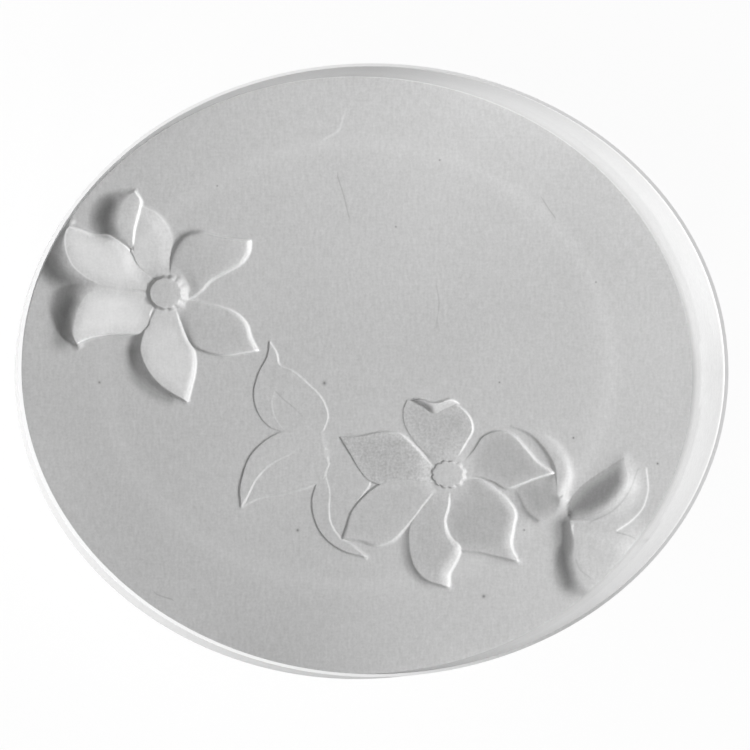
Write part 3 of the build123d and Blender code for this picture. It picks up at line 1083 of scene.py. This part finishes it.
def silicone_material(look):
    """Satin silicone: even and pale, faintly clouded, with a fine cast grain."""
    material = bpy.data.materials.new("pale_silicone")
    graph = Graph(material)
    place = graph.take(graph.node("TexCoord"), "Object")
    clouds = graph.noise(place, cloud_scale, 3.0)
    grain = graph.noise(place, grain_scale, 3.0)
    weave = graph.threads(place, (1.0, thread_stretch, 1.0))
    cross_weave = graph.threads(place, (thread_stretch, 1.0, 1.0))
    stipple = graph.attribute("stipple")
    tone = graph.attribute("tone")

    base = linear([look.colour[i] for i in range(3)])
    clouded = graph.mix(clouds, shaded(base, -look.mottling), shaded(base, look.mottling))
    woven = weave * 0.65 + cross_weave * 0.35
    grained = woven * 0.8 + grain * 0.6 - 0.2 + (grain - 0.5) * stipple
    threaded = graph.mix(grained, shaded(base, -look.weave), shaded(base, look.weave))
    plain = graph.mix(0.5, clouded, threaded)
    # The tone is mostly painted light and shade, with real scratches and specks: paler tone goes
    # towards the palest colour, darker tone towards the darkest.
    paler = graph.mix(tone * look.paleness_and_painted_light, plain, linear(palest))
    colour = graph.mix(tone * -darkening, paler, linear(darkest))

    height = grain * (0.4 + stipple * look.stippling) + weave * 0.8 + cross_weave * 0.4
    bump = graph.node(
        "Bump", None, {"Strength": 1.0, "Distance": look.grain_depth * 0.25, "Height": height}
    )
    shader = graph.node(
        "BsdfPrincipled",
        None,
        {
            "Base Color": colour,
            "Roughness": (grain - 0.5) * 0.2 + (clouds - 0.5) * 0.15 + look.roughness,
            "IOR": refraction,
            "Normal": graph.take(bump, 0),
        },
    )
    graph.show("OutputMaterial", shader)
    return material


def ground_material(background):
    """A plain pale ground that the camera sees as background, with the object's shadow."""
    material = bpy.data.materials.new("plain_ground")
    graph = Graph(material)
    light_path = graph.node("LightPath")
    colour = linear(background)
    matt = graph.node("BsdfDiffuse", None, {"Color": shaded(colour, -0.1)})
    glow = graph.node("Emission", None, {"Color": colour, "Strength": 1.0})
    share = graph.take(light_path, "Is Camera Ray") * ground_glow
    graph.show("OutputMaterial", graph.blend(share, matt, glow))
    return material


# ---- settings ----

class SOAP_PG_shape(bpy.types.PropertyGroup):
    """The relief of the mould."""

    relief_strength: FloatProperty(
        name="Relief strength",
        description="How deep the flowers are sunk, as a share of their full depth",
        default=1.0, min=0.2, max=1.3, subtype="FACTOR",
    )
    edge_softness: FloatProperty(
        name="Edge softness",
        description="How far a sheer edge of the relief is rounded",
        default=0.08 * MM, min=0.02 * MM, max=0.5 * MM, precision=5, unit="LENGTH",
    )


class SOAP_PG_look(bpy.types.PropertyGroup):
    """The silicone of the mould."""

    colour: FloatVectorProperty(
        name="Colour",
        description="Colour of the silicone",
        default=(0.765, 0.765, 0.765), min=0.0, max=1.0, size=3, subtype="COLOR_GAMMA",
    )
    roughness: FloatProperty(
        name="Roughness",
        description="How matt the silicone is",
        default=0.5, min=0.0, max=1.0, subtype="FACTOR",
    )
    mottling: FloatProperty(
        name="Mottling",
        description="How much the soft clouds change the colour",
        default=0.18, min=0.0, max=0.3, subtype="FACTOR",
    )
    # How strongly the painted light pales the silicone at its edges, wall, lip and petals.
    paleness_and_painted_light: FloatProperty(
        name="Edge paleness",
        description="How pale the thin edges, the wall and the petals turn",
        default=0.8, min=0.0, max=1.0, subtype="FACTOR",
    )
    stippling: FloatProperty(
        name="Stippling",
        description="How much rougher the petals are than the floor round them",
        default=1.2, min=0.0, max=5.0,
    )
    weave: FloatProperty(
        name="Weave",
        description="How much the fine linen-like grain changes the colour",
        default=0.45, min=0.0, max=0.9, subtype="FACTOR",
    )
    grain_depth: FloatProperty(
        name="Grain depth",
        description="Height of the fine grain left by the master",
        default=0.055 * MM, min=0.0, max=0.2 * MM, precision=6, unit="LENGTH",
    )


class SOAP_PG_studio(bpy.types.PropertyGroup):
    """The ground, the light and the camera."""

    background: FloatVectorProperty(
        name="Background",
        description="Colour of the ground and the backdrop",
        default=(1.0, 1.0, 1.0), min=0.0, max=1.0, size=3, subtype="COLOR_GAMMA",
    )
    side_strength: FloatProperty(
        name="Side light",
        description="Strength of the low light from the left, which casts no shadow",
        default=3.48, min=0.0, max=20.0,
    )
    window_strength: FloatProperty(
        name="Window light",
        description="Strength of the wide light that comes over the rim",
        default=0.48, min=0.0, max=20.0,
    )
    rim_strength: FloatProperty(
        name="Rim light",
        description="Strength of the lowest light, which only reaches the wall across from it",
        default=0.85, min=0.0, max=20.0,
    )
    ambient: FloatProperty(
        name="Ambient",
        description="Strength of the light from all round",
        default=0.215, min=0.0, max=2.0,
    )
    view_width: FloatProperty(
        name="View width",
        description="Width of the view at the level of the rim",
        default=107.5 * MM, min=0.02, max=1.0, unit="LENGTH",
    )


# ---- operators ----

class SOAP_OT_mould(bpy.types.Operator):
    """Build the silicone mould with its sunk lilies"""

    bl_idname = "soap.mould"
    bl_label = "Silicone mould"

    def execute(self, context):
        shape = context.scene.soap_shape
        hollows = all_hollows()
        shell = make_shell()
        floor = make_floor(hollows)
        only(shell)
        floor.select_set(True)
        bpy.ops.object.join()
        mould = context.active_object
        mould.name = "silicone_mould"
        mould.data.name = "silicone_mould"
        bpy.ops.object.mode_set(mode="EDIT")
        bpy.ops.mesh.select_all(action="SELECT")
        bpy.ops.mesh.remove_doubles(threshold=0.002 * MM)
        bpy.ops.mesh.normals_make_consistent(inside=False)
        bpy.ops.object.mode_set(mode="OBJECT")
        press_relief(mould, hollows, shape.relief_strength, shape.edge_softness / MM)
        bpy.ops.object.shade_smooth()
        mould.data.materials.clear()
        mould.data.materials.append(silicone_material(context.scene.soap_look))
        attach(mould, "root")
        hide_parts("side_wall", "relief_floor", "foot_ring")
        return {"FINISHED"}


class SOAP_OT_stage(bpy.types.Operator):
    """Set out the ground, the lights and the camera"""

    bl_idname = "soap.stage"
    bl_label = "Ground, light and camera"

    def execute(self, context):
        studio = context.scene.soap_studio
        bpy.ops.object.select_all(action="DESELECT")
        bpy.ops.mesh.primitive_plane_add(size=ground_width * MM, location=(0.0, 0.0, 0.0))
        ground = context.active_object
        ground.name = "ground"
        ground.data.materials.append(ground_material(studio.background))
        self.add_lights(context, studio)
        self.add_camera(context, studio)
        context.scene.view_settings.view_transform = "Standard"
        return {"FINISHED"}

    def add_sun(self, context, name, strength, angles):
        """One lamp far away."""
        lamp = bpy.data.lights.new(name, "SUN")
        lamp.energy = strength
        lamp.angle = math.radians(angles["spread"])
        holder = bpy.data.objects.new(name, lamp)
        turn, rise = math.radians(angles["azimuth"]), math.radians(angles["elevation"])
        direction = Vector(
            (math.cos(turn) * math.cos(rise), math.sin(turn) * math.cos(rise), math.sin(rise))
        )
        holder.rotation_euler = direction.to_track_quat("Z", "Y").to_euler()
        holder.location = direction
        context.collection.objects.link(holder)
        return lamp

    def add_lights(self, context, studio):
        """Three lights from the left, and an even light from all round."""
        side = self.add_sun(context, "side_light", studio.side_strength, side_lamp)
        side.use_shadow = False
        self.add_sun(context, "window_light", studio.window_strength, window_lamp)
        self.add_sun(context, "rim_light", studio.rim_strength, rim_lamp)
        world = bpy.data.worlds.new("studio_air")
        context.scene.world = world
        graph = Graph(world)
        path = graph.node("LightPath")
        seen = graph.take(path, "Is Camera Ray")
        for kind in ("Is Transmission Ray", "Is Glossy Ray"):
            seen = graph.maths("MAXIMUM", seen, graph.take(path, kind))
        air = graph.node("Background", None, {"Strength": studio.ambient})
        backdrop = graph.node("Background", None, {"Color": linear(studio.background)})
        graph.show("OutputWorld", graph.blend(seen, air, backdrop))

    def add_camera(self, context, studio):
        """A camera almost straight above, a little towards the side light."""
        away = Vector(view_from).normalized()
        right = Vector((0.0, 1.0, 0.0)).cross(away).normalized()
        up = away.cross(right)
        distance = camera_distance * MM
        aim = Vector(view_aim) * MM
        camera = bpy.data.cameras.new("camera")
        camera.lens = camera.sensor_width * distance / studio.view_width
        camera.clip_end = camera_sight * MM
        camera_object = bpy.data.objects.new("camera", camera)
        turned = Matrix((right, up, away)).transposed()
        camera_object.matrix_world = Matrix.Translation(aim + away * distance) @ turned.to_4x4()
        context.collection.objects.link(camera_object)
        context.scene.camera = camera_object


class SOAP_PT_panel(bpy.types.Panel):
    """The soap mould's settings and steps"""

    bl_idname = "SOAP_PT_panel"
    bl_label = "Soap mould"
    bl_space_type = "VIEW_3D"
    bl_region_type = "UI"
    bl_category = "Soap mould"

    def draw(self, context):
        for group in (context.scene.soap_shape, context.scene.soap_look, context.scene.soap_studio):
            box = self.layout.box()
            for name in group.__annotations__:
                box.prop(group, name)
        self.layout.operator(SOAP_OT_mould.bl_idname)
        self.layout.operator(SOAP_OT_stage.bl_idname)


classes = (
    SOAP_PG_shape, SOAP_PG_look, SOAP_PG_studio, SOAP_OT_mould, SOAP_OT_stage, SOAP_PT_panel,
)


def register():
    """Add the classes and their settings."""
    for cls in classes:
        bpy.utils.register_class(cls)
    bpy.types.Scene.soap_shape = PointerProperty(type=SOAP_PG_shape)
    bpy.types.Scene.soap_look = PointerProperty(type=SOAP_PG_look)
    bpy.types.Scene.soap_studio = PointerProperty(type=SOAP_PG_studio)


def unregister():
    """Remove the classes and their settings."""
    del bpy.types.Scene.soap_studio
    del bpy.types.Scene.soap_look
    del bpy.types.Scene.soap_shape
    for cls in reversed(classes):
        bpy.utils.unregister_class(cls)


def main():
    """Build everything."""
    register()
    bpy.ops.soap.mould()
    bpy.ops.soap.stage()


if __name__ == "__main__":
    main()
